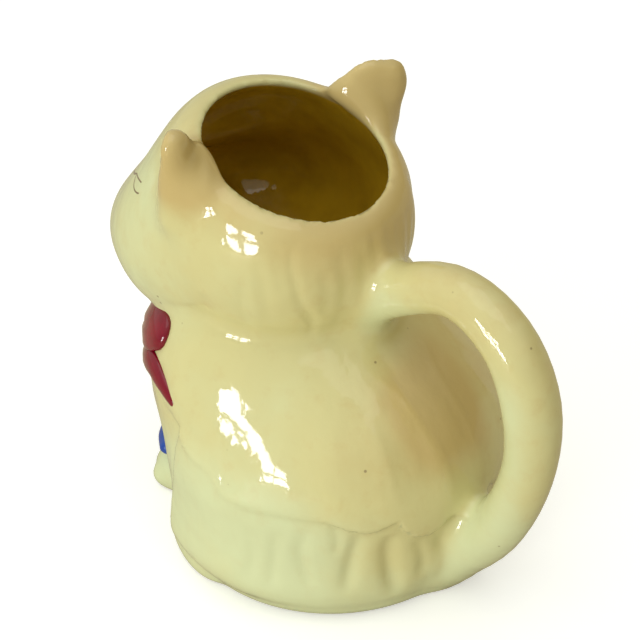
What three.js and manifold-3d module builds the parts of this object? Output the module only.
// A cat-shaped cream jug in glazed pottery: a hollow cast body whose mouth opens in the crown of
// the head, with the tail as its handle, and the ears, legs, feet and bow luted on before firing.
// Millimetres, +Z up. The cat looks along -Y, its left side is +X, and the tail is at +Y.
// The origin is on the table, under the middle of the foot.
import * as THREE from "three";
import { mergeVertices } from "three/addons/utils/BufferGeometryUtils.js";
import Module from "manifold-3d";

const wasm = await Module();
wasm.setup();

// Driving dimensions of the casting
const WALL = 4; // thickness of the cast wall, from the outer skin to the glazed inside
const LIP = 3.2; // thickness at the rounded lip, where the wall thins
const LIP_ROLL = 2.4; // how much further down the lip's rounding runs on the outside
const FLOOR = 6; // height of the well's floor above the table
const WELL_CORNER = 9; // how softly the well's side runs into its floor
const SEAM = 0.3; // joint left between the casting and each piece luted on to it

// The swellings that blend into the body and the head: centre (x, y, z) and half sizes
const belly = { x: 0, y: 3.9, z: 28.6, width: 41.5, depth: 45.2, height: 40.1 };
const rump = { x: 0, y: 2.5, z: 7.7, width: 41.7, depth: 42.1, height: 11.7 };
const chest = { x: 0, y: -8.9, z: 54.9, width: 35.5, depth: 28.9, height: 26 };
const skull = { x: 0, y: -6.8, z: 87.5, width: 30.7, depth: 33.8, height: 31.9 };
const face = { x: 0, y: -33.9, z: 79.2, width: 28, depth: 19, height: 16.7 };
const cheek = { x: 13.7, y: -21.5, z: 79.6, width: 19.4, depth: 19.4, height: 19.4 };
const whiskerPad = { x: 6.4, y: -46.4, z: 73, width: 8.4, depth: 9.6, height: 7.2 };
const chin = { x: 0, y: -43, z: 66.6, width: 7.4, depth: 8.4, height: 5 };
const SHOULDER_BLEND = 14; // how softly the body's swellings run together
const FACE_BLEND = 7;
const CHEEK_BLEND = 9;
const PAD_BLEND = 4;
const NECK_BLEND = 4; // fillet in the crease under the head

// The head is turned a little to the cat's right, and leans with it
const HEAD_TURN = THREE.MathUtils.degToRad(-9.3);
const HEAD_LEAN = THREE.MathUtils.degToRad(-1.5);

// The mouth: the crown is trimmed by a plane that falls towards the tail
const MOUTH_HEIGHT = 105.7; // height of the trimming plane at the middle of the mouth
const MOUTH_MIDDLE = 3; // how far back the middle of the mouth lies
const MOUTH_TILT = THREE.MathUtils.degToRad(21.5);

// The foot: a rounded ledge with a crease over it, flat below and wiped dry of glaze. Its steps
// are [height, how far in from the body's skin at its foot level]
const FOOT_LEVEL = 8.5; // height at which the body's skin sets the ledge's outline
const plinth = [[0, 4.9], [0.9, 3.7], [2.2, 3], [4.2, 2.7], [5.2, 3.2], [6.5, 1.4], [7.4, 0.7]];

// The coat: its hem round the body as [degrees from the front, height], the front edge of the
// haunch as [height, degrees from the front], and the soft locks of combed fur
const hemLine = [[60, 51], [72, 49.5], [77, 47], [81, 43], [90, 41.3], [95, 39], [99, 36.2], [120, 35.2], [133, 34.6],
  [142, 31.6], [147, 31], [154, 33], [157, 28.8], [163, 25.8], [170, 28], [180, 25.6]];
const haunchEdge = [[10, 64], [14, 63.5], [20, 64.5], [30, 69], [41, 73], [48, 77]];
const coat = { hemStep: 1, hemSoft: 1.2, haunchStep: 1.2, haunchSoft: 2, sideEnds: 95, backStarts: 85, soft: 30 };
const flank = { middle: 46, spread: 10, depth: 1.8, low: 32, high: 46 }; // between foreleg and haunch
const ruffLocks = { count: 24, depth: 0.5, low: 71, high: 92 };
const skirtLocks = { count: 24, depth: 0.55, fade: 22 };

// The tail, from the back of the neck to the foot: each station is [distance behind the
// belly's back, height, thickness]
const tail = [[-35.3, 65.9, 15.2], [-24.6, 76.2, 12.2], [-4, 85.5, 11.4], [10.4, 79.6, 12.2],
  [17.3, 64.6, 12.8], [16.4, 44.9, 11.8], [7.5, 23.6, 12.8], [-7, 8.5, 16.5], [-16, 6, 20]];

// The ears, luted on by hand and so not quite alike: where each is seated on the straight head,
// in degrees, and how far its clay is drawn out towards the lip
const earSeats = { left: { around: 96, rise: 37, draw: 1.5 }, right: { around: 95, rise: 38.5, draw: 5 } };
// Their lean, and three pads of clay each: [along, inward, forward] of the seat, then half sizes
const earLean = { out: 0.36, aside: 0.08, back: 0.38, up: 0.8 };
const earRoot = { at: [-2, -0.2, 0], half: [7.4, 4.4, 10.5] };
const earTip = { at: [6.6, 0.4, 0.4], half: [5.9, 4, 7] };
const earSaddle = { at: [0.5, 0, -0.6], half: [6.5, 3.6, 5.5] };
const earCup = { at: [4.8, 0.6, 2.6], half: [5.2, 1.9, 7.2] };
const EAR_FRONT = 2; // how far forward of its seat an ear is cut flat

// The nose, a small pad on the straight face: how far up from the level, in degrees
const nose = { rise: -10, width: 6.4, height: 4.6, proud: 2.2 };

// Pads of clay on the body: [degrees from the front, height, how deep the middle is sunk in the
// skin, [half width, half thickness, half height]]
const foreleg = [[24, 27, 5.4, [8.6, 7.4, 25]]];
const forepaw = [
  [23, 4.6, 1.4, [9.6, 10.2, 7.8]],
  [18.2, 3.6, -4, [3.8, 5.6, 4.4]],
  [23.2, 3.4, -4.8, [3.8, 5.6, 4.6]],
  [28.2, 3.6, -3.8, [3.8, 5.6, 4.4]],
];
const hindFoot = [[62, 3.4, 4.4, [15, 6.4, 5]]];

// Pieces laid along the body's skin: each station is [degrees from the front, height, half
// width, how far it stands proud]
const cuff = [[10.5, 18, 2, 2], [15.5, 17.6, 2.4, 3.8], [22, 17.4, 2.4, 4.6], [28.5, 17.4, 2.4, 4.2], [35, 17.6, 2.2, 2.6]];

// The bow, tucked under the chin: the same, with the depth below the neck's crease as height
const bowKnot = [[0, 1, 4.6, 3], [0, 5, 5.4, 4.2], [0, 9, 4.6, 3]];
const bowLoop = [[7, 5, 2.8, 1.8], [18, 5, 4.2, 2.4], [36, 4.8, 5.6, 2.4], [53, 4.2, 6.2, 2.2], [62, 4, 5.2, 2]];
const bowTail = [[6, 9.4, 2.4, 1.4], [22, 12.6, 3, 1.6], [42, 14, 3.2, 1.6], [60, 13, 2.8, 1.6], [70, 15.5, 2.4, 1.5], [77, 19, 1.4, 1]];

// How finely the faceted solids follow the curves
const COLUMNS = 64;
const SKIRT_ROWS = 6;
const COAT_ROWS = 9;
const HEAD_ROWS = 14;
const LIP_ROWS = 5;
const INNER_HEAD_ROWS = 7;
const INNER_BODY_ROWS = 6;
const WELL_ROWS = 5;
const TAIL_SIDES = 16;
const FACET = 0.05; // slivers finer than this are merged into their neighbours
const STEPS = 2; // rings from one station of a laid piece to the next
const TAIL_STEPS = 3;

const UP = new THREE.Vector3(0, 0, 1);
const SIDE = new THREE.Vector3(1, 0, 0);
const headCentre = new THREE.Vector3(skull.x, skull.y, skull.z);
const headTurn = new THREE.Matrix4()
  .makeRotationZ(HEAD_TURN)
  .multiply(new THREE.Matrix4().makeRotationY(HEAD_LEAN));
const headTurnBack = headTurn.clone().invert();
const rad = THREE.MathUtils.degToRad;

// A point of the turned head, carried back to where it lies on the straight head.
const fromHead = (p) => p.clone().sub(headCentre).applyMatrix4(headTurnBack).add(headCentre);

// Distance to a swelling's skin, negative inside.
function distanceTo(swelling, x, y, z) {
  const qx = (x - swelling.x) / swelling.width;
  const qy = (y - swelling.y) / swelling.depth;
  const qz = (z - swelling.z) / swelling.height;
  const near = Math.hypot(qx, qy, qz);
  const slope = Math.hypot(qx / swelling.width, qy / swelling.depth, qz / swelling.height);
  return (near * (near - 1)) / Math.max(slope, 1e-9);
}

// The lesser of two distances, with a fillet of clay between the two forms.
function blend(a, b, fillet) {
  const overlap = Math.max(fillet - Math.abs(a - b), 0) / fillet;
  return Math.min(a, b) - (overlap * overlap * fillet) / 4;
}

function bodyDistance(p) {
  let body = blend(distanceTo(belly, p.x, p.y, p.z), distanceTo(chest, p.x, p.y, p.z), SHOULDER_BLEND);
  return blend(body, distanceTo(rump, p.x, p.y, p.z), SHOULDER_BLEND);
}

function headDistance(p) {
  const q = fromHead(p);
  const side = Math.abs(q.x);
  let head = blend(distanceTo(skull, q.x, q.y, q.z), distanceTo(face, q.x, q.y, q.z), FACE_BLEND);
  head = blend(head, distanceTo(cheek, side, q.y, q.z), CHEEK_BLEND);
  head = blend(head, distanceTo(chin, q.x, q.y, q.z), PAD_BLEND);
  return blend(head, distanceTo(whiskerPad, side, q.y, q.z), PAD_BLEND);
}

// Reads a table of [at, value] pairs, rising in at, with straight lines between them.
function read(table, at) {
  const next = table.findIndex(([key]) => key >= at);
  if (next === 0) return table[0][1];
  if (next < 0) return table[table.length - 1][1];
  const [[low, from], [high, to]] = [table[next - 1], table[next]];
  return THREE.MathUtils.mapLinear(at, low, high, from, to);
}

const smoothStep = (low, high, t) => THREE.MathUtils.smoothstep(t, low, high);

// Degrees round the jug from the front, alike on both sides.
const degreesOf = (x, y) => THREE.MathUtils.radToDeg(Math.atan2(Math.abs(x), belly.y - y));

// How far the coat and its combed fur stand proud of the plain skin.
function furAt(p) {
  const degrees = degreesOf(p.x, p.y);
  const sway = 0.3 * Math.sin(degrees / 19 + p.z / 7);
  const lock = (count) => Math.abs(Math.sin((count * rad(degrees)) / 2 + sway)) - 0.6;
  const ruff = smoothStep(ruffLocks.low, ruffLocks.low + 4, p.z) * (1 - smoothStep(ruffLocks.high - 10, ruffLocks.high, p.z));
  const hem = read(hemLine, degrees);
  const edge = read(haunchEdge, p.z);
  const haunch = smoothStep(edge - coat.haunchSoft, edge + coat.haunchSoft, degrees)
    * smoothStep(plinth[0][0], 1.5 * FOOT_LEVEL, p.z) * (1 - smoothStep(hem - 2, hem + 6, p.z));
  const over = smoothStep(hem - coat.hemSoft, hem + coat.hemSoft, p.z) * (1 - smoothStep(hem + 6, hem + 24, p.z));
  const under = smoothStep(hem - skirtLocks.fade, hem - skirtLocks.fade + 8, p.z) * (1 - smoothStep(hem - 4, hem - 1, p.z));
  const back = smoothStep(coat.backStarts, coat.backStarts + coat.soft, degrees);
  const dip = Math.exp(-(((degrees - flank.middle) / flank.spread) ** 2)) * (1 - smoothStep(flank.low, flank.high, p.z));
  return ruffLocks.depth * ruff * back * lock(ruffLocks.count)
    - flank.depth * dip
    + skirtLocks.depth * under * back * lock(skirtLocks.count)
    + coat.hemStep * over * smoothStep(hemLine[0][0] + 4, hemLine[1][0], degrees)
    + coat.haunchStep * haunch * (1 - smoothStep(coat.sideEnds, coat.sideEnds + coat.soft, degrees));
}

// Signed distance from a point to the casting's outer skin, negative in the clay and the hollow.
const plainDistance = (p) => blend(bodyDistance(p), headDistance(p), NECK_BLEND);
const skinDistance = (p) => plainDistance(p) - furAt(p);

// Signed distance to the hollow's skin: a wall's thickness in from the plain skin, with a soft
// corner where it meets the floor.
const hollowDistance = (p) => -blend(-(plainDistance(p) + WALL), p.z - FLOOR, WELL_CORNER);

// Where a ray from inside the casting meets a skin, moved outwards by an offset.
function rayToSkin(origin, direction, offset = 0, distance = skinDistance) {
  const at = (t) => distance(origin.clone().addScaledVector(direction, t)) - offset;
  const step = 2;
  let far = step;
  while (at(far) < 0 && far < 200) far += step;
  let near = far - step;
  for (let i = 0; i < 20; i++) {
    const middle = (near + far) / 2;
    if (at(middle) < 0) near = middle;
    else far = middle;
  }
  return origin.clone().addScaledVector(direction, (near + far) / 2);
}

// Outward normal of the skin at a point.
function skinNormal(p) {
  const h = 0.5;
  const slope = (axis) => {
    const ahead = p.clone();
    const behind = p.clone();
    ahead[axis] += h;
    behind[axis] -= h;
    return skinDistance(ahead) - skinDistance(behind);
  };
  return new THREE.Vector3(slope("x"), slope("y"), slope("z")).normalize();
}

const outward = (around) => new THREE.Vector3(Math.sin(around), -Math.cos(around), 0);

// The body's axis leans forward from the foot to the neck.
function axisAt(z) {
  const share = THREE.MathUtils.clamp(z / skull.z, 0, 1);
  return new THREE.Vector3(0, THREE.MathUtils.lerp(belly.y, skull.y, share * share), z);
}

// A point of the body's skin at an angle round it and a height above the table.
const bodySkin = (around, z, distance = skinDistance) => rayToSkin(axisAt(z), outward(around), 0, distance);

// A point of the head's skin, from angles on the straight head: round it and above the level.
function headSkin(around, rise) {
  const direction = outward(around).multiplyScalar(Math.cos(rise)).setZ(Math.sin(rise));
  return rayToSkin(headCentre, direction.applyMatrix4(headTurn));
}

// Height of the crease where the head's skin passes into the body's, at an angle round the jug.
function creaseHeight(around) {
  let low = belly.z;
  let high = skull.z;
  for (let i = 0; i < 16; i++) {
    const z = (low + high) / 2;
    const p = bodySkin(around, z);
    if (bodyDistance(p) < headDistance(p)) low = z;
    else high = z;
  }
  return low;
}

const columnAngles = Array.from({ length: COLUMNS }, (_, i) => (2 * Math.PI * i) / COLUMNS);
const columnCrease = columnAngles.map(creaseHeight);
const shares = (count) => Array.from({ length: count }, (_, i) => (i + 1) / (count + 1));

// The lip: the edge of the trimmed crown at one angle, rounded from the outer skin to the inside.
const mouthMiddle = new THREE.Vector3(0, MOUTH_MIDDLE, MOUTH_HEIGHT);
function lipArc(around, count) {
  const direction = outward(around);
  direction.setZ(-direction.y * Math.tan(MOUTH_TILT)).normalize();
  const centre = rayToSkin(mouthMiddle, direction, -LIP / 2);
  const normal = skinNormal(centre);
  const over = new THREE.Vector3(0, Math.sin(MOUTH_TILT), Math.cos(MOUTH_TILT));
  over.addScaledVector(normal, -over.dot(normal)).normalize();
  return Array.from({ length: count }, (_, i) => {
    const turn = (Math.PI * i) / (count - 1);
    const roll = Math.cos(turn) > 0 ? LIP_ROLL * (1 - Math.sin(turn)) : 0;
    return centre.clone()
      .addScaledVector(normal, (LIP / 2) * Math.cos(turn))
      .addScaledVector(over, (LIP / 2) * Math.sin(turn) - roll);
  });
}

// Turns one direction towards another by a share of the angle between them.
function between(from, to, share) {
  const turn = new THREE.Quaternion().setFromUnitVectors(from, to);
  return from.clone().applyQuaternion(new THREE.Quaternion().slerp(turn, share));
}

// Rings of the body's outer skin: some from the foot up to the coat's hem, the rest from just
// over the hem up to the neck's crease.
function coatRings() {
  const run = (count, low, high) => Array.from({ length: count }, (_, i) =>
    THREE.MathUtils.lerp(low, high, i / (count - 1)));
  const columns = columnAngles.map((around, c) => {
    const { x, y } = outward(around);
    const hem = read(hemLine, degreesOf(x, y + belly.y));
    return [
      ...run(SKIRT_ROWS, FOOT_LEVEL, hem - coat.hemSoft),
      ...run(COAT_ROWS, hem + coat.hemSoft, columnCrease[c]),
    ].map((z) => bodySkin(around, z));
  });
  return columns[0].map((_, row) => columns.map((column) => column[row]));
}

// Rings of the hollow's skin in the body, from the neck's crease down to the belly's height.
function hollowRings() {
  return Array.from({ length: INNER_BODY_ROWS }, (_, i) =>
    columnAngles.map((around, c) =>
      bodySkin(around, THREE.MathUtils.lerp(columnCrease[c], belly.z, i / (INNER_BODY_ROWS - 1)), hollowDistance)));
}

// Rings of the well, from the belly's height down to the middle of its floor.
function wellRings() {
  const heart = axisAt(belly.z);
  return shares(WELL_ROWS).map((share) =>
    columnAngles.map((around) => {
      const down = (share * Math.PI) / 2;
      const direction = outward(around).multiplyScalar(Math.cos(down)).setZ(-Math.sin(down));
      return rayToSkin(heart, direction, 0, hollowDistance);
    }));
}

// Rings of the head between a ring at the crease and a ring at the mouth, both left out.
function headRings(count, neckRing, topRing, distance) {
  return shares(count).map((share) =>
    columnAngles.map((_, i) => {
      const low = neckRing[i].clone().sub(headCentre).normalize();
      const high = topRing[i].clone().sub(headCentre).normalize();
      return rayToSkin(headCentre, between(low, high, share), 0, distance);
    }),
  );
}

// A closed surface through rings of points. A ring of one point closes an end.
function loft(rings) {
  const positions = rings.flat().flatMap((p) => [p.x, p.y, p.z]);
  const faces = [];
  let start = 0;
  for (let r = 0; r + 1 < rings.length; r++) {
    const [here, there] = [rings[r].length, rings[r + 1].length];
    const count = Math.max(here, there);
    const low = (i) => start + (here === 1 ? 0 : i % count);
    const high = (i) => start + here + (there === 1 ? 0 : i % count);
    for (let i = 0; i < count; i++) {
      if (here > 1) faces.push(low(i), low(i + 1), high(i));
      if (there > 1) faces.push(low(i + 1), high(i + 1), high(i));
    }
    start += here;
  }
  const geometry = new THREE.BufferGeometry()
    .setAttribute("position", new THREE.Float32BufferAttribute(positions, 3))
    .setIndex(faces);
  geometry.computeVertexNormals();
  return geometry;
}

// The outer skin's rings, shared by the casting and by the blank that cuts its neighbours.
const plinthRows = plinth.map(([height, inset]) => columnAngles.map((around) =>
  bodySkin(around, FOOT_LEVEL, plainDistance).addScaledVector(outward(around), -inset).setZ(height)));
const bodyRows = coatRings();
const neckRing = bodyRows[bodyRows.length - 1];
const lipArcs = columnAngles.map((around) => lipArc(around, LIP_ROWS + 2));
const lipRows = lipArcs[0].map((_, row) => lipArcs.map((arc) => arc[row]));
const headRows = headRings(HEAD_ROWS, neckRing, lipRows[0], skinDistance);

// The hollow casting, as one skin: foot, outside, lip, inside and well.
function castBody() {
  const innerBody = hollowRings();
  const innerHead = headRings(INNER_HEAD_ROWS, innerBody[0], lipRows[lipRows.length - 1], hollowDistance);
  return loft([
    [new THREE.Vector3(0, belly.y, 0)],
    ...plinthRows,
    ...bodyRows,
    ...headRows,
    ...lipRows,
    ...innerHead.reverse(),
    ...innerBody,
    ...wellRings(),
    [axisAt(belly.z).setZ(FLOOR)],
  ]);
}

// The casting's outer form with no hollow, swollen by the luting seam.
function castBlank() {
  const swell = (ring) => ring.map((p) => p.clone().addScaledVector(skinNormal(p), SEAM));
  const lipCentres = lipArcs.map((arc) => arc[0].clone().lerp(arc[arc.length - 1], 0.5));
  const lipTop = lipRows.slice(1, Math.ceil(lipRows.length / 2)).map((ring) =>
    ring.map((p, i) => p.clone().addScaledVector(p.clone().sub(lipCentres[i]).normalize(), SEAM)));
  const foot = plinthRows.map((ring) => ring.map((p, i) => p.clone().addScaledVector(outward(columnAngles[i]), SEAM)));
  foot[0].forEach((p) => p.setZ(-SEAM));
  return loft([
    [new THREE.Vector3(0, belly.y, -SEAM)],
    ...foot,
    ...[...bodyRows, ...headRows, lipRows[0]].map(swell),
    ...lipTop,
    [mouthMiddle],
  ]);
}

// A closed rod through elliptical sections, each with two half-width vectors across it.
function rod(sections, sides) {
  const ring = ({ centre, across, over }) =>
    Array.from({ length: sides }, (_, i) => {
      const turn = (2 * Math.PI * i) / sides;
      return centre.clone().addScaledVector(across, Math.cos(turn)).addScaledVector(over, Math.sin(turn));
    });
  const rings = sections.map(ring);
  return loft([[sections[0].cap], ...rings, [sections[sections.length - 1].cap]]);
}

// Rounds both ends of a row of sections off to a point, each over a length of its own.
function withRoundEnds(sections, steps = 3) {
  const endOf = (end, beside) => {
    const along = end.centre.clone().sub(beside.centre).normalize();
    const length = end.across.length() * 0.85;
    const rings = Array.from({ length: steps - 1 }, (_, i) => {
      const turn = ((i + 1) * Math.PI) / 2 / steps;
      return {
        centre: end.centre.clone().addScaledVector(along, length * Math.sin(turn)),
        across: end.across.clone().multiplyScalar(Math.cos(turn)),
        over: end.over.clone().multiplyScalar(Math.cos(turn)),
      };
    });
    rings[rings.length - 1].cap = end.centre.clone().addScaledVector(along, length);
    return rings;
  };
  const last = sections.length - 1;
  return [...endOf(sections[0], sections[1]).reverse(), ...sections, ...endOf(sections[last], sections[last - 1])];
}

// A smooth run of numbers through rows of stations, a set number of steps between each two.
function runThrough(stations, steps) {
  const curveOf = (columns) => new THREE.CatmullRomCurve3(
    stations.map((row) => new THREE.Vector3(...columns.map((c) => row[c] ?? 0))), false, "catmullrom", 0.5);
  const [first, second] = [curveOf([0, 1, 2]), curveOf([3, 3, 3])];
  const count = (stations.length - 1) * steps;
  return Array.from({ length: count + 1 }, (_, i) => {
    const a = first.getPoint(i / count);
    return [a.x, a.y, a.z, second.getPoint(i / count).x];
  });
}

// A piece of clay laid along the body's skin, or below the neck's crease.
function laid(stations, grow, { side = 1, below = false, sides = 12 } = {}) {
  const rows = runThrough(stations, STEPS);
  const seats = rows.map(([degrees, height]) => {
    const around = rad(side * degrees);
    return bodySkin(around, below ? creaseHeight(around) - height : height);
  });
  const sections = rows.map(([, , half, proud], i) => {
    const along = seats[Math.min(i + 1, seats.length - 1)].clone().sub(seats[Math.max(i - 1, 0)]).normalize();
    const normal = skinNormal(seats[i]);
    const across = normal.clone().cross(along).normalize();
    return {
      centre: seats[i],
      across: across.multiplyScalar(half + grow),
      over: along.clone().cross(across).normalize().multiplyScalar(proud + grow),
    };
  });
  return rod(withRoundEnds(sections), sides);
}

function solidOf(geometry) {
  const merged = mergeVertices(geometry, 1e-4);
  return new wasm.Manifold(new wasm.Mesh({
    numProp: 3,
    vertProperties: new Float32Array(merged.attributes.position.array),
    triVerts: new Uint32Array(merged.index.array),
  }));
}

// Several forms of one piece as one solid.
const joined = (geometries) => geometries.map(solidOf).reduce((all, one) => all.add(one));

function geometryOf(solid) {
  const mesh = solid.getMesh();
  const geometry = new THREE.BufferGeometry()
    .setAttribute("position", new THREE.Float32BufferAttribute(mesh.vertProperties, 3))
    .setIndex(new THREE.Uint32BufferAttribute(mesh.triVerts, 1));
  geometry.computeVertexNormals();
  return geometry;
}

const blank = solidOf(castBlank());
const span = 8 * belly.depth;
const table = wasm.Manifold.cube([span, span, span], true).translate([0, 0, -span / 2]);

// The tail as a round rod, whose centre line and thickness run smoothly through its stations.
function tailRod(grow) {
  const back = belly.y + belly.depth;
  const rows = runThrough(tail, TAIL_STEPS);
  const centres = rows.map(([behind, height]) => new THREE.Vector3(0, back + behind, height));
  const sections = rows.map(([, , thickness], i) => {
    const along = centres[Math.min(i + 1, centres.length - 1)].clone().sub(centres[Math.max(i - 1, 0)]).normalize();
    return {
      centre: centres[i],
      across: SIDE.clone().multiplyScalar(thickness / 2 + grow),
      over: along.cross(SIDE).multiplyScalar(thickness / 2 + grow),
    };
  });
  return rod(withRoundEnds(sections), TAIL_SIDES);
}

// Where an ear is seated, and the ways its height, width and thickness run.
function earFrame(name, side) {
  const turned = (x, y, z) => new THREE.Vector3(x, y, z).normalize().applyMatrix4(headTurn);
  const seat = headSkin(rad(side * earSeats[name].around), rad(earSeats[name].rise));
  const up = turned(side * earLean.out + earLean.aside, earLean.back, earLean.up);
  const inward = turned(-0.66 * side, 0, 0.75);
  const forward = up.clone().cross(inward).multiplyScalar(side).normalize();
  return { seat, up, inward: forward.clone().cross(up).multiplyScalar(side), forward };
}

// One pad of clay in an ear.
function earPad(frame, { at: [along, inward, forward], half }, grow = 0, draw = 0) {
  return pad(
    frame.seat.clone()
      .addScaledVector(frame.up, along)
      .addScaledVector(frame.inward, inward + draw)
      .addScaledVector(frame.forward, forward),
    frame.inward.clone().multiplyScalar(half[0] + grow),
    frame.forward.clone().multiplyScalar(half[1] + grow),
    frame.up.clone().multiplyScalar(half[2] + grow),
  );
}

// An ear: a root drawn up to a tip, and out towards the lip in a saddle.
function earClay(name, side, grow) {
  const frame = earFrame(name, side);
  const root = solidOf(earPad(frame, earRoot, grow));
  const tip = solidOf(earPad(frame, earTip, grow));
  const saddle = solidOf(earPad(frame, earSaddle, grow, earSeats[name].draw));
  return wasm.Manifold.hull([root, tip]).add(wasm.Manifold.hull([root, saddle]));
}

// What is cut from the front of an ear: all that lies ahead of its flat front, and a shallow cup.
function earFrontCut(name, side) {
  const frame = earFrame(name, side);
  const size = 4 * earRoot.half[2];
  const ahead = new THREE.Matrix4()
    .makeBasis(frame.inward, frame.forward, frame.up)
    .setPosition(frame.seat.clone().addScaledVector(frame.forward, EAR_FRONT + size / 2));
  const block = wasm.Manifold.cube([size, size, size], true).transform(ahead.elements);
  return block.add(solidOf(earPad(frame, earCup)));
}

// A rounded pad about a point, given its half sizes as three vectors.
function pad(centre, across, over, along, rings = 7, sides = 14) {
  if (across.clone().cross(over).dot(along) < 0) across.negate();
  const sections = shares(rings).map((share) => {
    const turn = Math.PI * share;
    return {
      centre: centre.clone().addScaledVector(along, -Math.cos(turn)),
      across: across.clone().multiplyScalar(Math.sin(turn)),
      over: over.clone().multiplyScalar(Math.sin(turn)),
    };
  });
  sections[0].cap = centre.clone().sub(along);
  sections[rings - 1].cap = centre.clone().add(along);
  return rod(sections, sides);
}

// Pads of clay on the body's skin, in one piece.
function bodyPads(pads, side, grow) {
  return joined(pads.map(([degrees, height, sink, half]) => {
    const seat = bodySkin(rad(side * degrees), height, plainDistance);
    const facing = skinNormal(seat).setZ(0).normalize();
    return pad(
      seat.clone().addScaledVector(facing, -sink),
      UP.clone().cross(facing).multiplyScalar(half[0] + grow),
      facing.multiplyScalar(half[1] + grow),
      UP.clone().multiplyScalar(half[2] + grow),
    );
  }));
}

function nosePad(grow) {
  const seat = headSkin(0, rad(nose.rise));
  const normal = skinNormal(seat);
  const across = UP.clone().cross(normal).normalize();
  const along = normal.clone().cross(across);
  return pad(
    seat,
    across.multiplyScalar(nose.width / 2 + grow),
    normal.multiplyScalar(-nose.proud - grow),
    along.multiplyScalar(nose.height / 2 + grow),
  );
}

const clay = { color: 0xe6ddb0, roughness: 0.12, metalness: 0 };
const maroon = { color: 0x7a0f22, roughness: 0.1, metalness: 0 };
const brown = { color: 0x6b4634, roughness: 0.2, metalness: 0 };
const blue = { color: 0x2348a8, roughness: 0.1, metalness: 0 };

const jug = new THREE.Group();
function add(name, geometry, finish) {
  const mesh = new THREE.Mesh(geometry, new THREE.MeshStandardMaterial(finish));
  mesh.name = name;
  jug.add(mesh);
}

// Lutes a piece on. It is scribed to the casting, the table and the pieces that were put on
// before it: what lies inside them is cut away, with a seam of slip left between.
let taken = blank.add(table);
function lute(name, shape, finish, hollow) {
  let piece = shape(0).subtract(taken);
  if (hollow) piece = piece.subtract(hollow);
  const largest = piece.decompose().sort((a, b) => b.volume() - a.volume())[0];
  add(name, geometryOf(largest.simplify(FACET)), finish);
  taken = taken.add(shape(SEAM));
}

add("body_shell", castBody(), clay);
lute("tail_handle", (grow) => solidOf(tailRod(grow)), clay);
lute("nose", (grow) => solidOf(nosePad(grow)), brown);
lute("bow_knot", (grow) => solidOf(laid(bowKnot, grow, { below: true })), maroon);
for (const [name, side] of [["left", 1], ["right", -1]]) {
  const along = (stations, below = false) => (grow) => solidOf(laid(stations, grow, { side, below }));
  const padded = (pads) => (grow) => bodyPads(pads, side, grow);
  lute(name + "_bow_loop", along(bowLoop, true), maroon);
  lute(name + "_bow_tail", along(bowTail, true), maroon);
  lute(name + "_ear", (grow) => earClay(name, side, grow), clay, earFrontCut(name, side));
  lute(name + "_cuff", along(cuff), blue);
  lute(name + "_forepaw", padded(forepaw), clay);
  lute(name + "_foreleg", padded(foreleg), clay);
  lute(name + "_hind_foot", padded(hindFoot), clay);
}

export default jug;
